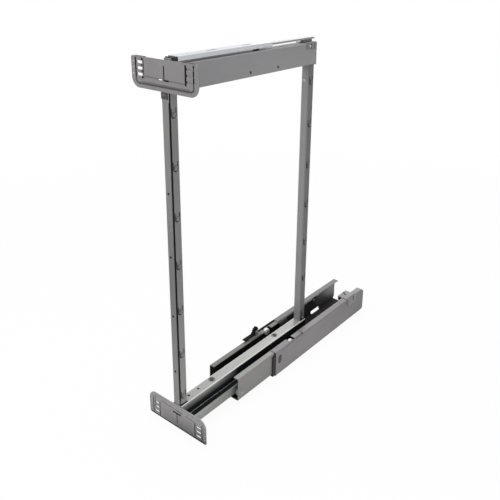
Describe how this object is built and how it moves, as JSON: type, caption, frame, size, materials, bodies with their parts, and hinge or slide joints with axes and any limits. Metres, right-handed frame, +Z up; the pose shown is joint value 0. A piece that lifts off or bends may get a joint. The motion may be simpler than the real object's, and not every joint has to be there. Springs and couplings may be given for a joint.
{
  "type": "pull out pantry frame",
  "caption": "Tall pull out frame with two hooked posts, running on a telescopic floor rail under a ball guided top box, with slotted door plates at its front.",
  "frame": {"origin": "centre of the four floor screw holes, on the underside of the cabinet rail", "axes": "+X to the right seen from the front, +Y back into the cabinet, +Z up"},
  "size_m": [0.207, 0.843, 0.9695],
  "materials": {
    "rail_steel": "satin galvanised sheet",
    "frame_steel": "grey powder coat",
    "bright_steel": "bright zinc",
    "dark_steel": "dark coated",
    "black_plastic": "moulded black",
    "white_nylon": "moulded white",
    "rubber": "moulded black"
  },
  "bodies": {
    "root": {"cabinet_rail": "rail_steel", "front_glide": "black_plastic", "rail_clip": "rail_steel", "rear_stop": "rubber", "lever_bracket": "rail_steel", "lever_pin": "bright_steel"},
    "lever": {"release_lever": "black_plastic"},
    "middle": {"middle_rail": "rail_steel", "middle_roller_pins": "bright_steel", "front_axle": "bright_steel", "front_axle_bracket": "rail_steel", "bracket_rivets": "bright_steel", "side_guide_discs": "white_nylon", "rear_floor_glide": "black_plastic"},
    "mid_roller_left_body": {"mid_roller_left": "white_nylon"},
    "mid_roller_right_body": {"mid_roller_right": "white_nylon"},
    "rear_roller_left_body": {"rear_roller_left": "black_plastic"},
    "rear_roller_right_body": {"rear_roller_right": "black_plastic"},
    "front_roller_left_body": {"front_roller_left": "white_nylon"},
    "front_roller_right_body": {"front_roller_right": "white_nylon"},
    "frame_roller_left_body": {"frame_roller_left": "white_nylon"},
    "frame_roller_right_body": {"frame_roller_right": "white_nylon"},
    "frame": {"frame_rail": "rail_steel", "rear_shoes": "black_plastic", "frame_axle": "bright_steel", "frame_axle_bracket": "rail_steel", "rail_screws": "dark_steel", "nut_plate": "rail_steel", "front_post": "frame_steel", "rear_post": "frame_steel", "front_post_foot": "frame_steel", "rear_post_foot": "frame_steel", "foot_screws": "bright_steel", "foot_bracket": "dark_steel", "rear_post_bolt": "bright_steel", "front_post_head": "frame_steel", "rear_post_head": "frame_steel", "head_pins": "dark_steel", "top_box": "frame_steel", "box_rear_cap": "black_plastic", "bottom_front_plate": "frame_steel", "top_front_plate": "frame_steel", "bottom_plate_carrier": "frame_steel", "top_plate_carrier": "frame_steel", "plate_backings": "black_plastic", "plate_screws": "dark_steel", "slide_rail": "bright_steel", "slide_rail_spacers": "black_plastic", "slide_rear_bracket": "dark_steel", "bracket_screws": "bright_steel"},
    "guide": {"guide_channel": "bright_steel", "guide_end_cap": "black_plastic"},
    "cage": {"ball_cage": "bright_steel", "guide_balls": "bright_steel"}
  },
  "joints": [
    {"name": "frame_slide", "type": "slide", "parent": "root", "child": "frame", "axis": [0, -1, 0], "range_m": [-0.303, 0.137]},
    {"name": "middle_slide", "type": "slide", "parent": "root", "child": "middle", "axis": [0, -1, 0], "range_m": [-0.152, 0.069]},
    {"name": "lever_hinge", "type": "hinge", "parent": "root", "child": "lever", "pos_m": [-0.051, -0.212, 0.0902], "axis": [-1, 0, 0], "range_deg": [0, 25]},
    {"name": "guide_slide", "type": "slide", "parent": "frame", "child": "guide", "axis": [0, 1, 0], "range_m": [0, 0.44]},
    {"name": "cage_slide", "type": "slide", "parent": "frame", "child": "cage", "axis": [0, 1, 0], "range_m": [0, 0.22]},
    {"name": "mid_roller_left_spin", "type": "hinge", "parent": "middle", "child": "mid_roller_left_body", "pos_m": [0, -0.163, 0.0673], "axis": [-1, 0, 0], "continuous": true},
    {"name": "mid_roller_right_spin", "type": "hinge", "parent": "middle", "child": "mid_roller_right_body", "pos_m": [0, -0.163, 0.0673], "axis": [-1, 0, 0], "continuous": true},
    {"name": "rear_roller_left_spin", "type": "hinge", "parent": "middle", "child": "rear_roller_left_body", "pos_m": [0, 0.092, 0.0673], "axis": [-1, 0, 0], "continuous": true},
    {"name": "rear_roller_right_spin", "type": "hinge", "parent": "middle", "child": "rear_roller_right_body", "pos_m": [0, 0.092, 0.0673], "axis": [-1, 0, 0], "continuous": true},
    {"name": "front_roller_left_spin", "type": "hinge", "parent": "middle", "child": "front_roller_left_body", "pos_m": [0, -0.3944, 0.0325], "axis": [1, 0, 0], "continuous": true},
    {"name": "front_roller_right_spin", "type": "hinge", "parent": "middle", "child": "front_roller_right_body", "pos_m": [0, -0.3944, 0.0325], "axis": [1, 0, 0], "continuous": true},
    {"name": "frame_roller_left_spin", "type": "hinge", "parent": "frame", "child": "frame_roller_left_body", "pos_m": [0, -0.179, 0.0219], "axis": [1, 0, 0], "continuous": true},
    {"name": "frame_roller_right_spin", "type": "hinge", "parent": "frame", "child": "frame_roller_right_body", "pos_m": [0, -0.179, 0.0219], "axis": [1, 0, 0], "continuous": true}
  ],
  "couplings": [
    {"joint": "middle_slide", "follows": "frame_slide", "ratio": 0.5},
    {"joint": "cage_slide", "follows": "guide_slide", "ratio": 0.5},
    {"joint": "mid_roller_left_spin", "follows": "frame_slide", "rad_per_m": 45.662},
    {"joint": "mid_roller_right_spin", "follows": "frame_slide", "rad_per_m": 45.662},
    {"joint": "rear_roller_left_spin", "follows": "frame_slide", "rad_per_m": 45.662},
    {"joint": "rear_roller_right_spin", "follows": "frame_slide", "rad_per_m": 45.662},
    {"joint": "front_roller_left_spin", "follows": "frame_slide", "rad_per_m": 40.984},
    {"joint": "front_roller_right_spin", "follows": "frame_slide", "rad_per_m": 40.984},
    {"joint": "frame_roller_left_spin", "follows": "frame_slide", "rad_per_m": 43.103},
    {"joint": "frame_roller_right_spin", "follows": "frame_slide", "rad_per_m": 43.103}
  ]
}
